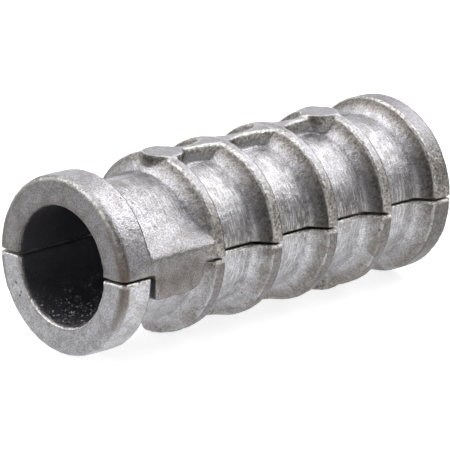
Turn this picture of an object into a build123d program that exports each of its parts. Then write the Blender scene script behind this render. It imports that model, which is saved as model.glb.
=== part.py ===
from build123d import *
import os
from math import acos, atan2, cos, radians, sin, tan

# A short lag shield anchor for a 5/16 in lag screw and a 1/2 in hole in masonry. It is two
# identical die-cast halves that meet face to face. A lag screw driven into the mouth wedges them
# apart at the far end, and their ribs bite into the hole.
#
# The origin is the centre of the mouth. +X runs along the axis to the far end, the halves part
# at the plane Z = 0, and +Z points out through the back of the upper half. Sizes are in mm, and
# a radius is measured from the axis.

# Whole shield
length = 31.75
split_gap = 0.14

# Bore: a straight entry that guides the screw, then a taper that the screw wedges open
entry_radius = 4.07
entry_depth = 7.0
mouth_chamfer = 0.25
throat_radius = 3.15

# Coarse ridges inside the taper, for the screw's thread to bite on
ridge_count = 7
ridge_pitch = 2.82
first_ridge_at = 9.6
ridge_height = 0.35
ridge_width = 1.3

# Body between the ribs, drafted a little so that it grows towards the far end
wall_at_mouth = 0.81
body_radius_at_mouth = entry_radius + wall_at_mouth
body_corner_round = 0.35

# Collar round the mouth
collar_height = 1.31
collar_radius = body_radius_at_mouth + collar_height
collar_width = 2.65
collar_rim_round = 0.5
collar_rear_round = 0.25

# Collar at the far end, the widest part, which just passes into the hole
end_collar_radius = 6.4
end_collar_height = 1.23
end_collar_width = 1.7
end_collar_round = 0.35
body_radius_at_far_end = end_collar_radius - end_collar_height
body_slope = (body_radius_at_far_end - body_radius_at_mouth) / length

# Ribs that grip the hole, with a leaning front flank and a steep rear one
rib_count = 4
rib_pitch = 5.4
first_rib_at = 9.0
rib_height = 1.27
rib_crest_width = 0.85
rib_front_lean = 34
rib_rear_lean = 8
rib_front_round = 0.35
rib_rear_round = 0.12
last_rib_at = first_rib_at + (rib_count - 1) * rib_pitch

# Fin along the back of each half that stops the shield turning in the hole. It is waisted between
# the ribs, tapers as it rises, and ends in a round boss on the first and the last rib. The flat
# tops of the two bosses lie a hair outside the ribs and in one plane, which the shield rests on
fin_below_crest = 0.05
fin_waist = 1.15
fin_width_at_ribs = 2.5
fin_draft = 8
fin_sink = 0.3
boss_above_crest = 0.03
boss_radius = 1.5
boss_inset = 0.5

# Tab that reaches over the other half behind the collar and keeps the two in line
tab_front_clearance = 0.5
tab_side_clearance = 0.12
tab_length = 4.3
tab_drop = 1.75
tab_bend_height = 1.2
tab_bend_round = 0.5
tab_front_round = 0.2
tab_rear_round = 1.55
flare_sink = 0.06


def body_radius(x):
    """Radius of the body between the ribs at distance x from the mouth."""
    return body_radius_at_mouth + body_slope * x


def crest_radius(x):
    """Radius of a rib's crest at distance x from the mouth."""
    return body_radius(x) + rib_height


def bore_radius(x):
    """Radius of the tapered part of the bore at distance x from the mouth."""
    share = (x - entry_depth) / (length - entry_depth)
    return entry_radius + (throat_radius - entry_radius) * share


def rib_corners(front, rear, crest, front_round, rear_round):
    """Base and crest corners of one rib, each with its rounding, from the mouth side to the back."""
    front_run = (crest - body_radius(front)) * tan(radians(rib_front_lean))
    rear_run = (crest - body_radius(rear)) * tan(radians(rib_rear_lean))
    return [
        ((front - front_run, body_radius(front - front_run)), body_corner_round),
        ((front, crest), front_round),
        ((rear, crest), rear_round),
        ((rear + rear_run, body_radius(rear + rear_run)), body_corner_round),
    ]


def outer_corners():
    """Corners of the outside from the mouth face to the far face, each with its rounding."""
    corners = [
        ((0, collar_radius), collar_rim_round),
        ((collar_width, collar_radius), collar_rear_round),
        ((collar_width, body_radius(collar_width)), body_corner_round),
    ]
    for number in range(rib_count):
        centre = first_rib_at + number * rib_pitch
        front = centre - rib_crest_width / 2
        rear = centre + rib_crest_width / 2
        corners += rib_corners(front, rear, crest_radius(centre), rib_front_round, rib_rear_round)
    end_front = length - end_collar_width
    end_rib = rib_corners(end_front, length, end_collar_radius, rib_front_round, 0)
    corners += end_rib[:2]
    corners.append(((length, end_collar_radius), end_collar_round))
    return corners


def bore_points():
    """Points of the bore from the far face back to the mouth."""
    points = [(length, throat_radius)]
    for number in reversed(range(ridge_count)):
        top = first_ridge_at + number * ridge_pitch
        rear = top + ridge_width / 2
        front = top - ridge_width / 2
        points.append((rear, bore_radius(rear)))
        points.append((top, bore_radius(top) - ridge_height))
        points.append((front, bore_radius(front)))
    points.append((entry_depth, entry_radius))
    points.append((mouth_chamfer, entry_radius))
    points.append((0, entry_radius + mouth_chamfer))
    return points


def fin_outline(waist, width_at_ribs, height):
    """Outline of the fin at that height: wide on the ribs, with one arc in to a waist between two."""
    with BuildSketch(Plane.XY.offset(height)) as outline:
        with BuildLine():
            for side in (1, -1):
                edge = side * width_at_ribs / 2
                for number in range(rib_count - 1):
                    rib_at = first_rib_at + number * rib_pitch
                    bay_front = rib_at + rib_crest_width / 2
                    bay_rear = rib_at + rib_pitch - rib_crest_width / 2
                    Line((rib_at, edge), (bay_front, edge))
                    ThreePointArc(
                        (bay_front, edge),
                        (rib_at + rib_pitch / 2, side * waist / 2),
                        (bay_rear, edge),
                    )
                    Line((bay_rear, edge), (rib_at + rib_pitch, edge))
            for end_at in (first_rib_at, last_rib_at):
                Line((end_at, width_at_ribs / 2), (end_at, -width_at_ribs / 2))
        make_face()
    return outline.sketch


# Everything on the tab follows from where the collar ends and how thick the body is there
tab_front = collar_width + tab_front_clearance
tab_rear = tab_front + tab_length
tab_inner_face = body_radius(tab_rear) + tab_side_clearance
tab_thickness = collar_radius - tab_inner_face
split_height = split_gap / 2
flare_length = first_rib_at - collar_width
flare_radius = body_radius(collar_width) - flare_sink
wall_middle = (entry_radius + flare_radius) / 2

# The fin and its bosses are rooted in the wall all along
fin_root = body_radius(first_rib_at) - fin_sink
fin_height = crest_radius(first_rib_at) - fin_below_crest
fin_narrowing = 2 * (fin_height - fin_root) * tan(radians(fin_draft))
boss_depth = boss_above_crest + rib_height + fin_sink

# Half of the cross-section, turned about the axis and cut off above the split
with BuildPart() as upper_half:
    outside = outer_corners()
    with BuildSketch(Plane.XZ) as section:
        with BuildLine():
            outline = [(0, entry_radius + mouth_chamfer)]
            outline += [point for point, rounding in outside]
            outline += [(length, throat_radius)]
            FilletPolyline(*outline, radius=[rounding for point, rounding in outside])
            Polyline(*bore_points())
        make_face()
    revolve(axis=Axis.X)
    split(bisect_by=Plane.XY.offset(split_height), keep=Keep.TOP)

    # The wall flares out flat from the body to the tab's bend, from the collar to the first rib
    bend = Vector(-collar_radius, tab_bend_height)
    touch_angle = atan2(bend.Y, -bend.X) + acos(flare_radius / bend.length)
    touch = Vector(-flare_radius * cos(touch_angle), flare_radius * sin(touch_angle))
    touch_root = touch * (wall_middle / flare_radius)
    with BuildSketch(Plane.YZ.offset(collar_width)) as flare:
        with BuildLine():
            FilletPolyline(
                touch_root,
                touch,
                bend,
                (-collar_radius, split_height),
                (-wall_middle, split_height),
                radius=[0, 0, tab_bend_round, 0, 0],
                close=True,
            )
        make_face()
    extrude(amount=flare_length)

    # The tab itself hangs below the split, outside the other half's body
    with BuildSketch(Plane.XZ.offset(collar_radius)) as tab:
        with BuildLine():
            FilletPolyline(
                (tab_front, split_height),
                (tab_front, -tab_drop),
                (tab_rear, -tab_drop),
                (tab_rear, split_height),
                radius=[0, tab_front_round, tab_rear_round, 0],
                close=True,
            )
        make_face()
    extrude(amount=-tab_thickness)

    # The fin is drafted, so its outline at the root is a little larger than the one at its top
    fin_base = fin_outline(fin_waist, fin_width_at_ribs, fin_root)
    fin_top = fin_outline(fin_waist - fin_narrowing, fin_width_at_ribs - fin_narrowing, fin_height)
    loft(sections=[fin_base, fin_top], ruled=True)

    # The bosses stand a little towards the middle from the first and the last rib, and their tops
    # slope as the ribs' crests do
    for boss_at in (first_rib_at + boss_inset, last_rib_at - boss_inset):
        boss_top = Plane(
            origin=(boss_at, 0, crest_radius(boss_at) + boss_above_crest),
            x_dir=(1, 0, body_slope),
            z_dir=(-body_slope, 0, 1),
        )
        with BuildSketch(boss_top):
            Circle(boss_radius)
        extrude(amount=-boss_depth)

# The lower half is the same casting turned half a turn about the axis
with BuildPart() as lower_half:
    add(upper_half.part.rotate(Axis.X, 180))

os.makedirs("parts", exist_ok=True)

upper_half.part.label = "upper_half"
export_step(upper_half.part, "parts/upper_half.step")

lower_half.part.label = "lower_half"
export_step(lower_half.part, "parts/lower_half.step")
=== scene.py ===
# %% [markdown]
# # A die-cast lag shield anchor
# The real object is a small split sleeve for masonry. Two identical halves are cast in zinc alloy,
# and a lag screw driven into the mouth wedges them apart. It is a little over 3 cm long, so every
# size below is written in millimetres and turned to metres by one factor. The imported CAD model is
# the frame: the castings made here take its shape, and then get the soft edges, the grain and the
# handling marks that a casting has and a CAD solid doesn't.

# %% Load the frame
from math import atan, cos, degrees, pi, radians, sin

import bpy
import numpy as np
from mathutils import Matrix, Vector


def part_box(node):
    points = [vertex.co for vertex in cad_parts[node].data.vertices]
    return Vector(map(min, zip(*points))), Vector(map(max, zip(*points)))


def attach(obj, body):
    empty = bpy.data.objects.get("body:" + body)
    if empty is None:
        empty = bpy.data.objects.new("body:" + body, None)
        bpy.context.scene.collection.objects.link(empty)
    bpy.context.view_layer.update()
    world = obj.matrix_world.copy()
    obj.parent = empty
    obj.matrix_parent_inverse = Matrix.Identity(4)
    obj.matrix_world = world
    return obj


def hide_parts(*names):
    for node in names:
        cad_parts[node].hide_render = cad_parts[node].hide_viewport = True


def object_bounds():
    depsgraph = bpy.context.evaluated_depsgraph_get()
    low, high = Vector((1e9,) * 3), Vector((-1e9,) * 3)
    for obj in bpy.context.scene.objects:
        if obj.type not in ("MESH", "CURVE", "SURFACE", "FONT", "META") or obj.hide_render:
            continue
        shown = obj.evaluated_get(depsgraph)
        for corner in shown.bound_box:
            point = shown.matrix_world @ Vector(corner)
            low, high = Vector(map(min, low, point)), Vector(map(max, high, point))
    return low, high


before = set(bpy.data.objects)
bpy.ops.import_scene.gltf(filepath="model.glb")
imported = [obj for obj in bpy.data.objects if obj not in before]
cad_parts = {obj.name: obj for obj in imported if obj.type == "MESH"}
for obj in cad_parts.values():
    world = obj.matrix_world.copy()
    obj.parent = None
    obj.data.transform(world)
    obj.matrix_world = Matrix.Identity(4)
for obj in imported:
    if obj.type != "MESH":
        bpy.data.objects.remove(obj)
cad_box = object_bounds()
mm = 0.001
lowest = cad_box[0].z
print("castings:", sorted(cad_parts), "lowest point in mm:", round(lowest / mm, 2))

# %% [markdown]
# ## Camera
# The photograph looks at the mouth from the left and a little from above, through a long lens from
# close by. A long lens alone would make the far collar look as large as the near one, so both the
# distance and the focal length are set. The camera's own axes are worked out first. Its place is
# then written as steps along them, starting at the centre of the mouth, which is the origin.

# %% Camera
view_azimuth = radians(-44.75)
view_elevation = radians(15.65)
camera_distance = 244.3 * mm
camera_aside = 10.94 * mm
camera_above = 2.773 * mm
sensor_width = 36.0
focal_length = 295.2

towards_camera = Vector((
    sin(view_azimuth) * cos(view_elevation),
    -cos(view_azimuth) * cos(view_elevation),
    sin(view_elevation),
))
to_the_right = Vector((cos(view_azimuth), sin(view_azimuth), 0))
upwards = towards_camera.cross(to_the_right)
camera_place = towards_camera * camera_distance + to_the_right * camera_aside + upwards * camera_above
bpy.ops.object.camera_add(location=camera_place)
camera = bpy.context.object
camera.name = "photo_camera"
camera.rotation_euler = (-towards_camera).to_track_quat("-Z", "Y").to_euler()
camera.data.sensor_width = sensor_width
camera.data.lens = focal_length
camera.data.clip_start = 10 * mm
camera.data.clip_end = 10
bpy.context.scene.camera = camera
print("field of view in degrees:", round(degrees(2 * atan(sensor_width / 2 / focal_length)), 2))

# %% [markdown]
# ## Helpers for colours and nodes
# Colours are written as the hex values a picture editor shows, and one function turns them to the
# linear values that Blender's sockets take. One more function adds a node, sets its properties and
# fills its inputs, either with a value or with a link from another node.

# %% Colour and node helpers
def linear(hex_colour):
    """The linear RGBA values of an sRGB hex colour."""
    channels = []
    for start in (1, 3, 5):
        value = int(hex_colour[start:start + 2], 16) / 255
        channels.append(value / 12.92 if value <= 0.04045 else ((value + 0.055) / 1.055) ** 2.4)
    return (*channels, 1)


def add_node(tree, kind, inputs=None, **settings):
    """Adds a node of that kind, with its properties set and its inputs filled or linked.

    An input takes a value, another node's output, or a node, which stands for its first output.
    """
    node = tree.nodes.new(kind)
    for name, value in settings.items():
        setattr(node, name, value)
    for name, value in (inputs or {}).items():
        if isinstance(value, bpy.types.Node):
            value = value.outputs[0]
        if isinstance(value, bpy.types.NodeSocket):
            tree.links.new(value, node.inputs[name])
        else:
            node.inputs[name].default_value = value
    return node


def new_material(name):
    """An empty material with its output node."""
    material = bpy.data.materials.new(name)
    material.use_nodes = True
    material.node_tree.nodes.clear()
    output = add_node(material.node_tree, "ShaderNodeOutputMaterial")
    return material, material.node_tree, output


# %% [markdown]
# ## Floor
# The photograph shows the anchor on plain white. The floor is one large sheet of matt white paper.
# Paper keeps the object's soft shadow, and it throws light up under the round body, which is why
# the underside of the real one isn't dark. Camera and mirror rays see it brighter than it is lit,
# so that it reads as white without more light on the metal.

# %% Floor
floor_size = 3.0
floor_glow = 0.78
bpy.ops.object.select_all(action="DESELECT")
bpy.ops.mesh.primitive_plane_add(size=floor_size, location=(0, 0, lowest))
floor = bpy.context.object
floor.name = "floor"
paper, tree, output = new_material("matt_white_paper")
paper_diffuse = add_node(tree, "ShaderNodeBsdfDiffuse", {"Color": linear("#c8c8c8")})
paper_glow = add_node(tree, "ShaderNodeEmission", {"Color": linear("#ffffff"), "Strength": floor_glow})
paper_seen = add_node(tree, "ShaderNodeAddShader")
tree.links.new(paper_diffuse.outputs[0], paper_seen.inputs[0])
tree.links.new(paper_glow.outputs[0], paper_seen.inputs[1])
ray = add_node(tree, "ShaderNodeLightPath")
is_seen = add_node(tree, "ShaderNodeMath", {
    0: ray.outputs["Is Camera Ray"], 1: ray.outputs["Is Glossy Ray"],
}, operation="MAXIMUM")
paper_mix = add_node(tree, "ShaderNodeMixShader", {0: is_seen})
tree.links.new(paper_diffuse.outputs[0], paper_mix.inputs[1])
tree.links.new(paper_seen.outputs[0], paper_mix.inputs[2])
tree.links.new(paper_mix.outputs[0], output.inputs["Surface"])
floor.data.materials.append(paper)
print("floor at", round(lowest / mm, 2), "mm,", floor_size, "m wide")

# %% [markdown]
# ## Lamps
# Metal shows what stands round it more than it shows its own colour, so each lamp is placed where
# some part of the anchor mirrors it to the camera. The bright bands along the valleys are the image
# of a wide softbox above the far end. The ribs' front edges mirror one overhead, the upper outline
# mirrors a low panel behind, and the upper flanks mirror one on the left. All are large, so that
# their images have soft ends on the rough metal. Each has a direction from the object's middle, a
# distance and two sides in metres, and a brightness, at 1 of which it would look like white paper.

# %% Lamps
middle = (cad_box[0] + cad_box[1]) / 2
for name, towards, distance, width, height, brightness in (
    ("key_softbox", (0.68, -0.16, 0.64), 0.5, 0.58, 0.30, 4.3),
    ("overhead_softbox", (-0.02, 0.22, 0.97), 0.6, 0.60, 0.60, 1.8),
    ("back_panel", (0.68, 0.68, 0.32), 0.6, 0.50, 0.35, 1.3),
    ("left_panel", (-0.64, 0.45, 0.57), 0.6, 0.60, 0.35, 4.5),
):
    place = middle + Vector(towards).normalized() * distance
    bpy.ops.object.light_add(type="AREA", location=place)
    lamp = bpy.context.object
    lamp.name = name
    lamp.data.shape = "RECTANGLE"
    lamp.data.size = width
    lamp.data.size_y = height
    lamp.data.energy = brightness * pi * width * height
    lamp.rotation_euler = (middle - place).to_track_quat("-Z", "Y").to_euler()
    print(name, "at", [round(value, 3) for value in place], "m,", round(lamp.data.energy, 2), "W")

# %% [markdown]
# ## Surroundings
# Round the lamps a studio is dim, and dim surroundings are what gives bare metal its dark bands. The
# world is one even grey, so that every side of the object gets the same treatment.

# %% World
surroundings_brightness = 0.16
world = bpy.data.worlds.new("studio")
bpy.context.scene.world = world
world.use_nodes = True
tree = world.node_tree
tree.nodes.clear()
surroundings = add_node(tree, "ShaderNodeBackground", {
    "Color": linear("#ffffff"), "Strength": surroundings_brightness,
})
add_node(tree, "ShaderNodeOutputWorld", {"Surface": surroundings})
bpy.context.scene.view_settings.view_transform = "Standard"
print("surroundings:", surroundings_brightness, "of white")

# %% [markdown]
# ## The castings
# The real halves are two copies of one casting, and the frame holds both. A CAD node keeps its own
# mesh, so each casting here starts as a copy of one. That copy is loose triangles. They are merged
# first, because nothing can soften an edge whose two sides don't share their points.

# %% Copies of the halves
nearly = 0.001 * mm


def merged_copy(node_name, piece_name):
    """A copy of a CAD node as a piece of its own, with its loose triangles merged."""
    bpy.ops.object.select_all(action="DESELECT")
    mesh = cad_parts[node_name].data.copy()
    mesh.materials.clear()
    piece = bpy.data.objects.new(piece_name, mesh)
    bpy.context.scene.collection.objects.link(piece)
    bpy.context.view_layer.objects.active = piece
    piece.select_set(True)
    bpy.ops.object.mode_set(mode="EDIT")
    bpy.ops.mesh.select_all(action="SELECT")
    bpy.ops.mesh.remove_doubles(threshold=nearly)
    bpy.ops.object.mode_set(mode="OBJECT")
    print(piece_name, "points:", len(mesh.vertices))
    return piece


upper_casting = merged_copy("upper_half", "upper_casting")
lower_casting = merged_copy("lower_half", "lower_casting")
castings = (upper_casting, lower_casting)

# %% [markdown]
# ## Lips, mouth and tabs
# The CAD halves stand 0.14 mm apart at the split, their mouth has a plain chamfer, and each tab is
# half a millimetre off the collar. In the photograph the halves nearly touch, and the chamfer and
# the gap beside the tab are narrower. Those few points can be moved one by one as long as the mesh is
# coarse, so that comes before the edges are softened.

# %% Lips, mouth and tabs
cad_lip = 0.07 * mm
lip = 0.035 * mm
cad_mouth_radius = 4.32 * mm
mouth_radius = 4.17 * mm
mouth_margin = 0.01 * mm
cad_tab_front = 3.15 * mm
tab_front_round = 0.2 * mm
tab_inner_face = 5.0 * mm
tab_moved = 0.17 * mm


def fit_edges(piece, back):
    """Moves the lips, the mouth's inner edge and the tab's front. Back is 1 for up, -1 for down."""
    moved = 0
    for point in piece.data.vertices:
        before = point.co.copy()
        if point.co.x < nearly and point.co.yz.length < cad_mouth_radius + mouth_margin:
            point.co.yz *= mouth_radius / cad_mouth_radius
        elif abs(abs(point.co.z) - cad_lip) < nearly:
            point.co.z *= lip / cad_lip
        past_split = point.co.z * back < lip + nearly
        tab_depth = point.co.x - cad_tab_front
        if past_split and abs(point.co.y) > tab_inner_face and -nearly < tab_depth < tab_front_round:
            point.co.x -= tab_moved
        moved += point.co != before
    print(piece.name, "points moved:", moved, "of", len(piece.data.vertices))


fit_edges(upper_casting, 1)
fit_edges(lower_casting, -1)

# %% [markdown]
# ## Soft edges
# A die casting comes out of its mould with every edge a little soft, and tumbling wears the edges
# further. The CAD mesh has knife edges. One way to soften it is a bevel on every edge, which breaks
# down where many small faces meet. The way chosen here is to rebuild the surface from small even
# voxels, which rounds every edge by about one voxel, and then to relax it. One small function adds a
# modifier, sets it and applies it, and the next steps use it too.

# %% Even voxels
voxel_size = 0.135 * mm
smooth_factor = 0.5
relax_passes = 2


def apply_modifier(piece, name, kind, **settings):
    """Adds a modifier with its properties set, and applies it to the mesh."""
    modifier = piece.modifiers.new(name, kind)
    for setting, value in settings.items():
        setattr(modifier, setting, value)
    bpy.context.view_layer.objects.active = piece
    bpy.ops.object.modifier_apply(modifier=modifier.name)


for piece in castings:
    apply_modifier(piece, "even_voxels", "REMESH", mode="VOXEL", voxel_size=voxel_size,
                   use_smooth_shade=True)
    apply_modifier(piece, "relax", "SMOOTH", factor=smooth_factor, iterations=relax_passes)
    print(piece.name, "faces:", len(piece.data.polygons))

# %% [markdown]
# ## Softer pockets beside the fin
# Where the fin meets the ribs the real pockets end in round arches, because the mould was rounded
# there with a ball cutter. A vertex group marks the skin of those bays, and a Smooth modifier that
# acts only on the group wears its corners down, with the bosses at both ends left crisp.

# %% Pockets
pockets_from = 11.2
pockets_to = 23.0
pocket_side = 3.2
pocket_floor = 4.2
pocket_passes = 12


def wear_down(piece, name, share_at, passes):
    """Smooths the skin where share_at, which takes a point's place in mm, gives more than 0."""
    group = piece.vertex_groups.new(name=name)
    for point in piece.data.vertices:
        share = share_at(*(point.co / mm))
        if share > 0:
            group.add([point.index], min(share, 1), "REPLACE")
    apply_modifier(piece, name, "SMOOTH", factor=smooth_factor, iterations=passes, vertex_group=group.name)
    piece.vertex_groups.clear()
    print(piece.name, name, "worn down in", passes, "passes")


def share_in_pockets(x, y, z):
    """Above 0 in the bays between the fin and the ribs, and 1 a millimetre into them."""
    return min(x - pockets_from, pockets_to - x, pocket_side - abs(y), (abs(z) - pocket_floor) * 2)


for piece in castings:
    wear_down(piece, "pockets", share_in_pockets, pocket_passes)

# %% [markdown]
# ## Where the bosses run into the ribs
# Each round boss has a clear edge towards the mouth. On its other side the rib runs up to nearly the
# same height, and the casting shows hardly any step there. The same kind of wear, on that side only,
# takes the step away.

# %% Boss backs
boss_places = (9.5, 24.7)
boss_back_start = 0.4
boss_back_length = 3.0
boss_back_side = 2.5
boss_back_floor = 5.0
boss_back_passes = 14


def share_behind_bosses(x, y, z):
    """Above 0 in a patch behind each boss, and 1 half a millimetre into it."""
    above = (abs(z) - boss_back_floor) * 2
    shares = []
    for boss_at in boss_places:
        behind = x - boss_at - boss_back_start
        shares.append(min(behind, boss_back_length - behind, boss_back_side - abs(y), above) * 2)
    return max(shares)


for piece in castings:
    wear_down(piece, "boss_backs", share_behind_bosses, boss_back_passes)

# %% [markdown]
# ## Where the skin stands out
# Edges that stand out are rubbed bright and hollows keep their dark oxide. The material needs to
# know which is which, and it paints the edges that face up paler still, as a painted highlight.
# Each mesh is compared with a much smoother copy of itself: where the skin lies outside the smooth
# one it is an edge, and where it lies inside it is a hollow. The distance is averaged over
# neighbours, so that it runs evenly along an edge, and is written on the mesh as an attribute in
# millimetres, which the material reads. The bosses' rims get only a share of it, because they are
# cast flat and hardly rubbed.

# %% Smoothed copy and neighbours
relief_passes = 12
relief_averaging = 4


def smoothed_points(piece):
    """Where the points of a much smoother copy of the piece lie."""
    smooth = piece.copy()
    smooth.data = piece.data.copy()
    bpy.context.scene.collection.objects.link(smooth)
    apply_modifier(smooth, "soften", "SMOOTH", factor=smooth_factor, iterations=relief_passes)
    points = np.empty(3 * len(smooth.data.vertices))
    smooth.data.vertices.foreach_get("co", points)
    smooth_mesh = smooth.data
    bpy.data.objects.remove(smooth)
    bpy.data.meshes.remove(smooth_mesh)
    return points


def averaged(values, mesh):
    """One value for each point, each drawn a few times towards the mean of its neighbours."""
    count = len(values)
    ends = np.empty(2 * len(mesh.edges), dtype=int)
    mesh.edges.foreach_get("vertices", ends)
    first, second = ends[0::2], ends[1::2]
    neighbours = np.bincount(ends, minlength=count)
    for _ in range(relief_averaging):
        total = np.bincount(first, values[second], count) + np.bincount(second, values[first], count)
        values = (values + total / neighbours) / 2
    return values


print("relief: a copy smoothed in", relief_passes, "passes, averaged", relief_averaging, "times")

# %% Relief attribute
spared_round_boss = 2.1
boss_level = 5.2
boss_share = 0.3


def measure_relief(piece):
    """Writes how far each point stands out from a smoothed copy, in mm, as the attribute relief."""
    mesh = piece.data
    points, outwards = (np.empty(3 * len(mesh.vertices)) for _ in range(2))
    mesh.vertices.foreach_get("co", points)
    mesh.vertex_normals.foreach_get("vector", outwards)
    stands_out = ((points - smoothed_points(piece)) * outwards).reshape(-1, 3).sum(axis=1) / mm
    values = averaged(stands_out, mesh)
    x, y, z = points.reshape(-1, 3).T / mm
    for boss_at in boss_places:
        round_boss = np.hypot(x - boss_at, y) < spared_round_boss
        values[round_boss & (abs(z) > boss_level)] *= boss_share
    relief = mesh.attributes.new("relief", "FLOAT", "POINT")
    relief.data.foreach_set("value", values)
    print(piece.name, "relief from", round(values.min(), 3), "to", round(values.max(), 3), "mm")


for piece in castings:
    measure_relief(piece)

# %% [markdown]
# ## Uneven skin
# Zinc freezes against the mould in patches, and loose castings knock each other in the barrel. So
# no face is quite true: there are low swells a millimetre or two across, and fine chips along the
# edges. The lower half also has flat knocks. They could be left to bump in the material, but a chip
# on an edge only shows in the outline if the mesh has it. Displace modifiers push the skin mostly
# inwards by a few hundredths of a millimetre, each by a texture of its own size.

# %% Swells, chips and knocks
pushed_in = 0.75


def push_skin(piece, name, kind, size, height, **settings):
    """Moves the skin along its normals by a texture of that size, three quarters of it inwards."""
    texture = bpy.data.textures.new(name, kind)
    texture.noise_scale = size
    for setting, value in settings.items():
        setattr(texture, setting, value)
    apply_modifier(piece, name, "DISPLACE", texture=texture, texture_coords="LOCAL", strength=height,
                   mid_level=pushed_in)
    print(piece.name, name, "up to", round(height * pushed_in / mm, 3), "mm deep")


for piece in castings:
    push_skin(piece, "swells", "CLOUDS", size=1.6 * mm, height=0.06 * mm, noise_depth=1)
    push_skin(piece, "chips", "CLOUDS", size=0.35 * mm, height=0.05 * mm, noise_depth=2)
push_skin(lower_casting, "knocks", "VORONOI", size=1.5 * mm, height=0.05 * mm)

# %% [markdown]
# ## Back inside the CAD model's size
# Part of the push is outwards, but no real casting is larger than its mould. The points that stand
# outside the box that the CAD gives their half are laid back onto it. A boolean with the box would do
# the same and leave new edges behind, so the points are moved instead.

# %% Within the box
def keep_inside(piece, node_name):
    """Moves the points that stand outside the CAD node's box back onto it."""
    lowest_corner, highest_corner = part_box(node_name)
    points = np.empty(3 * len(piece.data.vertices))
    piece.data.vertices.foreach_get("co", points)
    points = points.reshape(-1, 3)
    kept = np.clip(points, list(lowest_corner), list(highest_corner))
    moved = int((kept != points).any(axis=1).sum())
    piece.data.vertices.foreach_set("co", kept.ravel())
    piece.data.update()
    print(piece.name, "points moved back:", moved, "of", len(points))


keep_inside(upper_casting, "upper_half")
keep_inside(lower_casting, "lower_half")

# %% [markdown]
# ## Which half
# The upper half is drawn duller and browner than the lower one. Partly that is a duller skin, as if
# it came from another shot of the same mould, and partly painted shade, since the lower half mirrors
# the white paper under it. An attribute tells the material which half it is on, 1 for the upper.

# %% Dullness and shade attribute
for piece, dullness_and_shade in ((upper_casting, 1.0), (lower_casting, 0.0)):
    shade = piece.data.attributes.new("dullness_and_shade", "FLOAT", "POINT")
    shade.data.foreach_set("value", [dullness_and_shade] * len(piece.data.vertices))
    print(piece.name, "dullness_and_shade", dullness_and_shade)

# %% [markdown]
# ## The metal
# The anchor is zinc alloy, die cast and then tumbled, with no paint or plating. The mould leaves a
# fine sandy grain. Tumbling rubs the high places bright, and the hollows stay dull and a little
# brown. All patterns in the material are sized in millimetres, so the first nodes turn the object
# coordinates to millimetres. From those come the distance from the axis and the turn round it, the
# height over the body between the ribs, which is a slight cone, and how squarely the skin faces
# away from the axis. The height over the split is counted towards the half's own back.

# %% Zinc: where a point lies
body_at_mouth = 4.88
body_slope = 0.00913
zinc, tree, output = new_material("die_cast_zinc")
place = add_node(tree, "ShaderNodeTexCoord")
in_mm = add_node(tree, "ShaderNodeVectorMath", {0: place.outputs["Object"], 1: (1000, 1000, 1000)},
                 operation="MULTIPLY")
along = add_node(tree, "ShaderNodeSeparateXYZ", {0: in_mm})
outward = add_node(tree, "ShaderNodeVectorMath", {0: in_mm, 1: (0, 1, 1)}, operation="MULTIPLY")
radius = add_node(tree, "ShaderNodeVectorMath", {0: outward}, operation="LENGTH").outputs["Value"]
off_body = add_node(tree, "ShaderNodeMath", {0: along.outputs["X"], 1: -body_slope, 2: radius},
                    operation="MULTIPLY_ADD")
height = add_node(tree, "ShaderNodeMath", {0: off_body, 1: body_at_mouth}, operation="SUBTRACT")
off_split = add_node(tree, "ShaderNodeMath", {0: along.outputs["Z"]}, operation="ABSOLUTE")
turn = add_node(tree, "ShaderNodeMath", {0: along.outputs["Y"], 1: off_split}, operation="ARCTAN2")
facing = add_node(tree, "ShaderNodeSeparateXYZ", {0: place.outputs["Normal"]})
facing_aside = add_node(tree, "ShaderNodeMath", {0: facing.outputs["Y"]}, operation="ABSOLUTE")
away = add_node(tree, "ShaderNodeVectorMath", {0: outward}, operation="NORMALIZE")
facing_out = add_node(tree, "ShaderNodeVectorMath", {0: away, 1: place.outputs["Normal"]},
                      operation="DOT_PRODUCT").outputs["Value"]
relief = add_node(tree, "ShaderNodeAttribute", attribute_name="relief").outputs["Fac"]
upper = add_node(tree, "ShaderNodeAttribute", attribute_name="dullness_and_shade").outputs["Fac"]
half_sign = add_node(tree, "ShaderNodeMath", {0: upper, 1: 2.0, 2: -1.0}, operation="MULTIPLY_ADD")
own_side = add_node(tree, "ShaderNodeMath", {0: along.outputs["Z"], 1: half_sign}, operation="MULTIPLY")
body_at_end = body_at_mouth + body_slope * cad_box[1].x / mm
print("body radius in mm:", body_at_mouth, "at the mouth,", round(body_at_end, 2), "at the far end")

# %% [markdown]
# ## Masks
# Each mask is 1 where one kind of surface is and fades to 0 round it. A Map Range node with smooth
# steps makes each simple one from a single measure, from a value where it is 0 to one where it is 1.
# The others are products of those. Lengths are in millimetres and are read off the CAD model's own
# sizes. A facing is a cosine, between 1 and -1.

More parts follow.
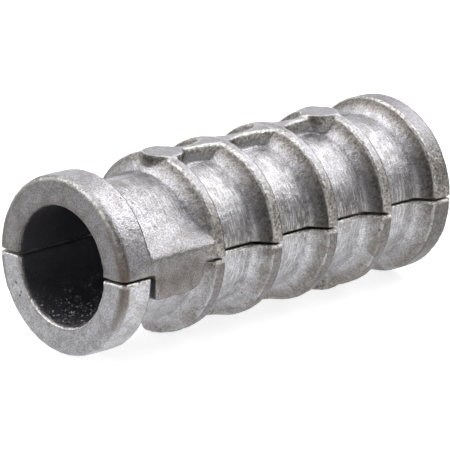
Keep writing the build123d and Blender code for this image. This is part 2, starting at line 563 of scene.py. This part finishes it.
# %% Zinc: simple masks
mask = {"upper": upper}
for name, measure, start, end in (
    ("lower", upper, 1.0, 0.0),
    ("inside", radius, 4.40, 4.20),
    ("faces_axis", facing_out, -0.08, -0.35),
    ("behind_chamfer", along.outputs["X"], 0.28, 0.50),
    ("by_bore", radius, 4.60, 4.30),
    ("faces_mouth", facing.outputs["X"], -0.25, -0.80),
    ("faces_back", facing.outputs["X"], 0.16, 0.42),
    ("not_back", facing.outputs["X"], 0.12, -0.12),
    ("faces_up", facing.outputs["Z"], -0.1, 0.5),
    ("not_ring", facing.outputs["X"], -0.85, -0.50),
    ("below_split", own_side, 1.4, -0.6),
    ("faces_straight", facing.outputs["X"], -0.87, -0.96),
    ("leans", facing.outputs["X"], -0.08, -0.30),
    ("not_flank", facing.outputs["X"], -0.78, -0.55),
    ("faces_aside", facing_aside, 0.62, 0.85),
    ("past_first", along.outputs["X"], 10.0, 12.0),
    ("at_mouth", along.outputs["X"], 0.5, 0.2),
    ("rim_front", along.outputs["X"], 0.75, 0.45),
    ("past_collar", along.outputs["X"], 2.9, 3.4),
    ("past_neck", along.outputs["X"], 6.5, 9.0),
    ("neck", along.outputs["X"], 8.6, 7.6),
    ("far", along.outputs["X"], 25.5, 28.5),
    ("on_rim", radius, 5.45, 5.95),
    ("side", facing_out, 0.82, 0.58),
    ("square", facing_out, 0.80, 0.95),
    ("low", height, 0.50, 0.15),
    ("raised", height, 0.05, 1.00),
    ("high", height, 0.55, 0.95),
    ("off_foot", height, 0.02, 0.45),
    ("top", height, 0.98, 1.15),
    ("near_split", off_split, 3.4, 0.3),
    ("rim_near", off_split, 5.0, 0.8),
    ("lower_flank", off_split, 5.2, 1.8),
    ("clear_of_split", off_split, 0.3, 0.9),
    ("at_lips", off_split, 0.45, 0.2),
    ("rubbed", relief, 0.011, 0.028),
    ("hollow", relief, -0.008, -0.030),
):
    mask[name] = add_node(tree, "ShaderNodeMapRange", {
        "Value": measure, "From Min": start, "From Max": end,
    }, interpolation_type="SMOOTHSTEP", label=name)
print("simple masks:", len(mask))

# %% Zinc: masks that are products
for name, factors in (
    ("step", ("side", "past_collar")),
    ("flank", ("step", "raised")),
    ("shaded_flank", ("step", "off_foot", "lower_flank", "faces_mouth")),
    ("shade_under_crest", ("step", "high", "faces_mouth")),
    ("later_flank", ("flank", "past_first", "faces_mouth")),
    ("tab", ("below_split", "past_collar")),
    ("in_bore", ("inside", "behind_chamfer", "faces_axis")),
    ("valley", ("low", "square", "past_collar")),
    ("lined", ("valley", "past_neck")),
    ("neck_skin", ("valley", "neck")),
    ("crest", ("top", "square", "past_neck")),
    ("low_crest", ("crest", "lower_flank")),
    ("rear_edge_shadow", ("faces_back", "high")),
    ("boss_wall_shade", ("faces_straight", "off_foot", "past_collar", "upper")),
    ("pocket", ("step", "raised", "faces_aside")),
    ("worn_and_lit_front", ("leans", "not_flank", "high", "faces_up", "past_neck")),
    ("ring", ("faces_mouth", "at_mouth")),
    ("dull_shaded_ring", ("ring", "upper")),
    ("rim_dark_reflection", ("on_rim", "rim_front", "rim_near")),
    ("bore_rim", ("by_bore", "at_mouth")),
    ("split_shade", ("near_split", "upper", "not_ring")),
    ("worn_and_lit_edge", ("rubbed", "faces_up", "clear_of_split", "not_back")),
    ("worn_and_lit_lip", ("rubbed", "lower", "at_lips")),
    ("far_lower", ("far", "lower")),
):
    product = mask[factors[0]]
    for factor in factors[1:]:
        product = add_node(tree, "ShaderNodeMath", {0: product, 1: mask[factor]}, operation="MULTIPLY",
                           label=name)
    mask[name] = product
print("masks with the products:", len(mask))

# %% [markdown]
# ## Drag lines
# In the valleys the casting was dragged round the core pins, which left fine lines round the axis.
# They could be rings from a wave texture, but real ones start and stop. So they are noise, on
# coordinates that are squeezed along the bar and long round it: each line is about 0.1 mm wide and
# 0.9 mm long.

# %% Zinc: drag lines
line_spacing = 0.12
line_length = 0.9
body_middle = 5.5
wrapped_turn = add_node(tree, "ShaderNodeMath", {0: turn, 1: body_middle / line_length},
                        operation="MULTIPLY")
wrapped_along = add_node(tree, "ShaderNodeMath", {0: along.outputs["X"], 1: 1 / line_spacing},
                         operation="MULTIPLY")
wrapped_out = add_node(tree, "ShaderNodeMath", {0: radius, 1: 1 / line_spacing}, operation="MULTIPLY")
wrapped = add_node(tree, "ShaderNodeCombineXYZ", {
    "X": wrapped_along, "Y": wrapped_turn, "Z": wrapped_out,
})
drag_lines = add_node(tree, "ShaderNodeTexNoise", {"Vector": wrapped, "Scale": 1.0, "Detail": 3.0})
print("drag lines:", line_spacing, "mm apart,", line_length, "mm long")

# %% [markdown]
# ## Sand, blotches, patches and pits
# A pixel of the photograph is 0.07 mm here. The sand of the mould is finer than that, so it is drawn
# at a tenth of a millimetre to show at all, and half as coarse again on the flanks. Oxide lies in
# blotches a millimetre across. The lower half shows patches where the metal froze in separate drops,
# with a fold between two. Gas pits are a fifth of a millimetre, half a millimetre apart where they
# gather. A noise with a W is another draw of the same noise, so that two patterns don't coincide.

# %% Zinc: sand, blotches, patches and pits
sand_grain = 0.11
coarse_grain = 0.17
blotch_size = 0.9
patch_size = 1.5
warps_per_mm = 1.2
warp_reach = 0.9
pit_spacing = 0.5
pit_field = 2.6
pits_begin = 0.48
pits_full = 0.70
pit_radius = 0.26
sand = add_node(tree, "ShaderNodeTexNoise", {"Vector": in_mm, "Scale": 1 / sand_grain, "Detail": 2.0})
coarse_sand = add_node(tree, "ShaderNodeTexNoise", {
    "Vector": in_mm, "Scale": 1 / coarse_grain, "Detail": 2.0, "Roughness": 0.7, "W": 3.0,
}, noise_dimensions="4D")
blotches = add_node(tree, "ShaderNodeTexNoise", {
    "Vector": in_mm, "Scale": 1 / blotch_size, "Detail": 4.0,
})
patch_warp = add_node(tree, "ShaderNodeTexNoise", {
    "Vector": in_mm, "Scale": warps_per_mm, "Detail": 1.0, "W": 5.0,
}, noise_dimensions="4D")
warped = add_node(tree, "ShaderNodeVectorMath", {
    0: patch_warp.outputs["Color"], 1: (warp_reach, warp_reach, warp_reach), 2: in_mm,
}, operation="MULTIPLY_ADD")
patches = add_node(tree, "ShaderNodeTexVoronoi", {"Vector": warped, "Scale": 1 / patch_size})
patch_tone = add_node(tree, "ShaderNodeSeparateColor", {0: patches.outputs["Color"]})
folds = add_node(tree, "ShaderNodeTexVoronoi", {"Vector": warped, "Scale": 1 / patch_size},
                 feature="DISTANCE_TO_EDGE")
pits = add_node(tree, "ShaderNodeTexVoronoi", {"Vector": in_mm, "Scale": 1 / pit_spacing})
pitted = add_node(tree, "ShaderNodeTexNoise", {"Vector": in_mm, "Scale": 1 / pit_field, "W": 7.0},
                  noise_dimensions="4D")
pit_reach = add_node(tree, "ShaderNodeMapRange", {
    "Value": pitted, "From Min": pits_begin, "From Max": pits_full, "To Min": 0.0, "To Max": pit_radius,
})
pit_depth = add_node(tree, "ShaderNodeMath", {0: pit_reach, 1: pits.outputs["Distance"]},
                     operation="SUBTRACT")
print("sand:", sand_grain, "mm, pits:", pit_spacing, "mm apart")

# %% [markdown]
# ## Masks from the patterns
# The patterns become masks in the same way as the measures did. In the bore the photograph shows a
# few bright flecks, gathered on the lower floor, where chips of the skin catch the light. They are
# the specks of the coarse sand, kept only within some blotches.

# %% Zinc: masks from the patterns
for name, measure, start, end in (
    ("speckle", sand, 0.36, 0.64),
    ("coarse_speckle", coarse_sand, 0.34, 0.66),
    ("sparkle", coarse_sand, 0.57, 0.63),
    ("cluster", blotches, 0.37, 0.55),
    ("line", drag_lines, 0.50, 0.66),
    ("blotch", blotches, 0.40, 0.66),
    ("patch", patch_tone, 0.45, 0.52),
    ("fold", folds.outputs["Distance"], 0.06, 0.01),
    ("pit", pit_depth, 0.0, 0.10),
    ("pit_field", pitted, 0.50, 0.60),
    ("bore_floor", along.outputs["Z"], -1.8, -3.8),
):
    mask[name] = add_node(tree, "ShaderNodeMapRange", {
        "Value": measure, "From Min": start, "From Max": end,
    }, interpolation_type="SMOOTHSTEP", label=name)
bore_glint = mask["in_bore"]
for pattern in ("sparkle", "cluster", "bore_floor"):
    bore_glint = add_node(tree, "ShaderNodeMath", {0: bore_glint, 1: mask[pattern]}, operation="MULTIPLY",
                          label="bore_glint")
mask["bore_glint"] = bore_glint
print("all masks:", len(mask))

# %% [markdown]
# ## Grains of colour
# Polished zinc is a pale blue-grey. The tumbled casting is darker and duller, because its skin is
# oxide over rough metal. Nowhere is it one flat grey: each kind of skin runs from a dark to a light
# colour by the sand in it.

# %% Zinc: grains of colour
grain = {}
for name, dark, light, pattern in (
    ("bright_metal", "#a6a6aa", "#cbcbcf", "speckle"),
    ("dull_shaded_metal", "#9c9b9f", "#c3c2c6", "speckle"),
    ("sandy_shaded_metal", "#6c6967", "#b9b6b2", "coarse_speckle"),
    ("crusty_metal", "#74706c", "#bfbbb6", "coarse_speckle"),
    ("crest_metal", "#767478", "#99979b", "coarse_speckle"),
    ("sandy_shaded_crest", "#625d58", "#b0aaa3", "coarse_speckle"),
    # pale up to white, for worn edges and the painted highlights on them
    ("worn_and_highlit_metal", "#9c9388", "#ffffff", "coarse_speckle"),
    ("bore_metal", "#88888f", "#e6e6ea", "bore_glint"),
):
    grain[name] = add_node(tree, "ShaderNodeMix", {0: mask[pattern], 6: linear(dark), 7: linear(light)},
                           data_type="RGBA", label=name).outputs[2]
print("grains:", sorted(grain))

# %% [markdown]
# ## Coats
# The colours are laid over each other like coats of paint. A coat that multiplies darkens the grain
# without hiding it, and a coat that mixes covers it. Each cover is the product of some masks and a
# strength. The first coats are on large areas and the last ones on edges and pits, because a rubbed
# edge or a pit goes through all that lies under it.

# %% Zinc: coats
# partly painted shade: the upper half's grain is a little darker than the lower half's
colour = add_node(tree, "ShaderNodeMix", {0: upper, 6: grain["bright_metal"], 7: grain["dull_shaded_metal"]},
                  data_type="RGBA").outputs[2]
for blend, coat, factors, strength in (
    ("MULTIPLY", "#b4aca2", ("blotch",), 0.42),
    ("MULTIPLY", "#b8b0a6", ("patch", "lower", "raised", "past_neck"), 0.7),
    # partly painted shade: the upper half's flanks take a darker sand than the lower half's
    ("MIX", "sandy_shaded_metal", ("flank", "upper"), 0.8),
    ("MIX", "crusty_metal", ("flank", "lower"), 0.45),
    # painted shade: the upper half's flanks past the first rib are darker
    ("MULTIPLY", "#c4beb8", ("later_flank", "upper"), 0.4),
    # painted shade: darker close to the split and on the tabs that reach past it
    ("MULTIPLY", "#cfc6ba", ("tab",), 0.5),
    ("MIX", "crusty_metal", ("pocket",), 0.8),
    # painted shade: the bosses' front walls on the upper half are darker
    ("MULTIPLY", "#857d76", ("boss_wall_shade",), 0.65),
    # painted shade: the upper flanks facing the mouth darken towards the split, more past the first rib
    ("MULTIPLY", "#858384", ("shaded_flank", "upper"), 0.25),
    ("MULTIPLY", "#858384", ("shaded_flank", "upper", "past_first"), 0.6),
    # painted shade: the upper flanks are darker just under the crests
    ("MULTIPLY", "#a6a099", ("shade_under_crest", "upper"), 0.45),
    # partly painted shade: the upper half's mouth face is darker than the lower one's
    ("MULTIPLY", "#9c9996", ("dull_shaded_ring",), 0.75),
    # painted shade: the upper half darkens towards the split, apart from the mouth face
    ("MULTIPLY", "#b9b5b0", ("split_shade",), 0.7),
    # painted shade: the upper half's neck is darker, which dims the highlight on it
    ("MULTIPLY", "#c8c6c6", ("neck", "upper"), 0.40),
    ("MIX", "crest_metal", ("crest",), 0.7),
    # partly painted shade: crests darken and turn browner towards the split, strongly on the upper half
    ("MIX", "sandy_shaded_crest", ("low_crest", "upper"), 0.85),
    ("MIX", "sandy_shaded_crest", ("low_crest", "lower"), 0.3),
    ("MULTIPLY", "#c8c8c8", ("ring", "lower"), 0.8),
    ("MULTIPLY", "#c4bfba", ("far_lower",), 0.2),
    ("MULTIPLY", "#c8c8c8", ("crest", "far"), 0.6),
    ("MULTIPLY", "#c0bcb8", ("crest", "lower"), 0.5),
    ("MULTIPLY", "#b4b0ac", ("raised", "lower", "past_neck", "lower_flank"), 0.4),
    ("MULTIPLY", "#d2d2d4", ("valley", "lower"), 0.25),
    ("MIX", "#f0f0f2", ("lined", "line"), 0.45),
    ("MIX", "#f0f0f2", ("neck_skin", "line"), 0.25),
    # painted reflection: the mouth's rim is painted dark brown near the split, where it mirrors the dim
    # side by the camera
    ("MIX", "#52473e", ("rim_dark_reflection",), 0.85),
    ("MULTIPLY", "#a8977f", ("bore_rim",), 0.25),
    ("MIX", "#4a443f", ("hollow",), 0.12),
    # painted shadow: a dark line along the back edge of each crest
    ("MIX", "#3a3632", ("rear_edge_shadow",), 0.8),
    ("MIX", "#4a4540", ("fold", "lower", "pit_field", "raised", "past_collar"), 0.3),
    # partly wear, partly painted highlight: rubbed edges turn pale where they face up
    ("MIX", "worn_and_highlit_metal", ("worn_and_lit_edge",), 0.75),
    # partly wear, partly painted highlight: the lower half's rubbed lips along the split turn pale
    ("MIX", "worn_and_highlit_metal", ("worn_and_lit_lip",), 0.6),
    # partly wear, partly painted highlight: the crests' upward front edges turn pale
    ("MIX", "worn_and_highlit_metal", ("worn_and_lit_front",), 0.55),
    ("MIX", "#37322e", ("pit",), 0.6),
    ("MIX", "bore_metal", ("in_bore",), 0.96),
):
    cover = strength
    for factor in factors:
        cover = add_node(tree, "ShaderNodeMath", {0: mask[factor], 1: cover}, operation="MULTIPLY")
    paint = grain[coat] if coat in grain else linear(coat)
    colour = add_node(tree, "ShaderNodeMix", {0: cover, 6: colour, 7: paint}, data_type="RGBA",
                      blend_type=blend).outputs[2]
print("zinc nodes with the coats:", len(tree.nodes))

# %% [markdown]
# ## Roughness and bump
# Bare cast metal is a rough mirror, so the roughness starts in the middle. Rubbed edges are the
# smoothest part and sandy flanks the roughest. The IOR keeps its default, because a metal's gloss
# comes from its colour. The bump stands for the sand, the drag lines and the pits, all finer than
# the mesh can hold. Its depth is in metres, as the mesh is. The flecks in the bore are too small to
# find a lamp to mirror, so they are drawn as pale paint instead of metal.

# %% Zinc: roughness, bump and shader
cast_roughness = 0.44
bump_depth = 0.037 * mm
roughness = cast_roughness
for target, cover in ((0.58, "flank"), (0.42, "crest"), (0.36, "worn_and_lit_edge"), (0.48, "ring")):
    roughness = add_node(tree, "ShaderNodeMix", {0: mask[cover], 2: roughness, 3: target}).outputs[0]
surface_height = sand
for pattern, where, amount in (
    (drag_lines, "lined", 1.3),
    (drag_lines, "neck_skin", 1.0),
    (coarse_sand, "flank", 1.8),
    (coarse_sand, "low_crest", 0.8),
    (mask["pit"], "pit", -1.5),
):
    local_height = add_node(tree, "ShaderNodeMath", {0: pattern, 1: mask[where]}, operation="MULTIPLY")
    surface_height = add_node(tree, "ShaderNodeMath", {0: local_height, 1: amount, 2: surface_height},
                              operation="MULTIPLY_ADD")
skin_bump = add_node(tree, "ShaderNodeBump", {
    "Strength": 1.0, "Distance": bump_depth, "Height": surface_height,
})
metal = add_node(tree, "ShaderNodeBsdfPrincipled", {
    "Base Color": colour,
    "Metallic": add_node(tree, "ShaderNodeMath", {0: 1.0, 1: bore_glint}, operation="SUBTRACT"),
    "Roughness": roughness,
    "Normal": skin_bump,
})
tree.links.new(metal.outputs[0], output.inputs["Surface"])
print("zinc nodes:", len(tree.nodes))

# %% [markdown]
# ## Bodies
# As the screw goes in, the halves of the real shield rock about the mouth and open at the far end.
# The frame already has that hinge, with one body for each half, so a casting only has to ride on its
# body. It also stands for its CAD half, which stays in the frame unseen, and takes the zinc.

# %% Put the pieces on their bodies
for piece, node_name, body in (
    (upper_casting, "upper_half", "upper"),
    (lower_casting, "lower_half", "lower"),
):
    piece.data.materials.append(zinc)
    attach(piece, body)
    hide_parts(node_name)
    print(piece.name, "rides on", body, "and stands for", node_name)
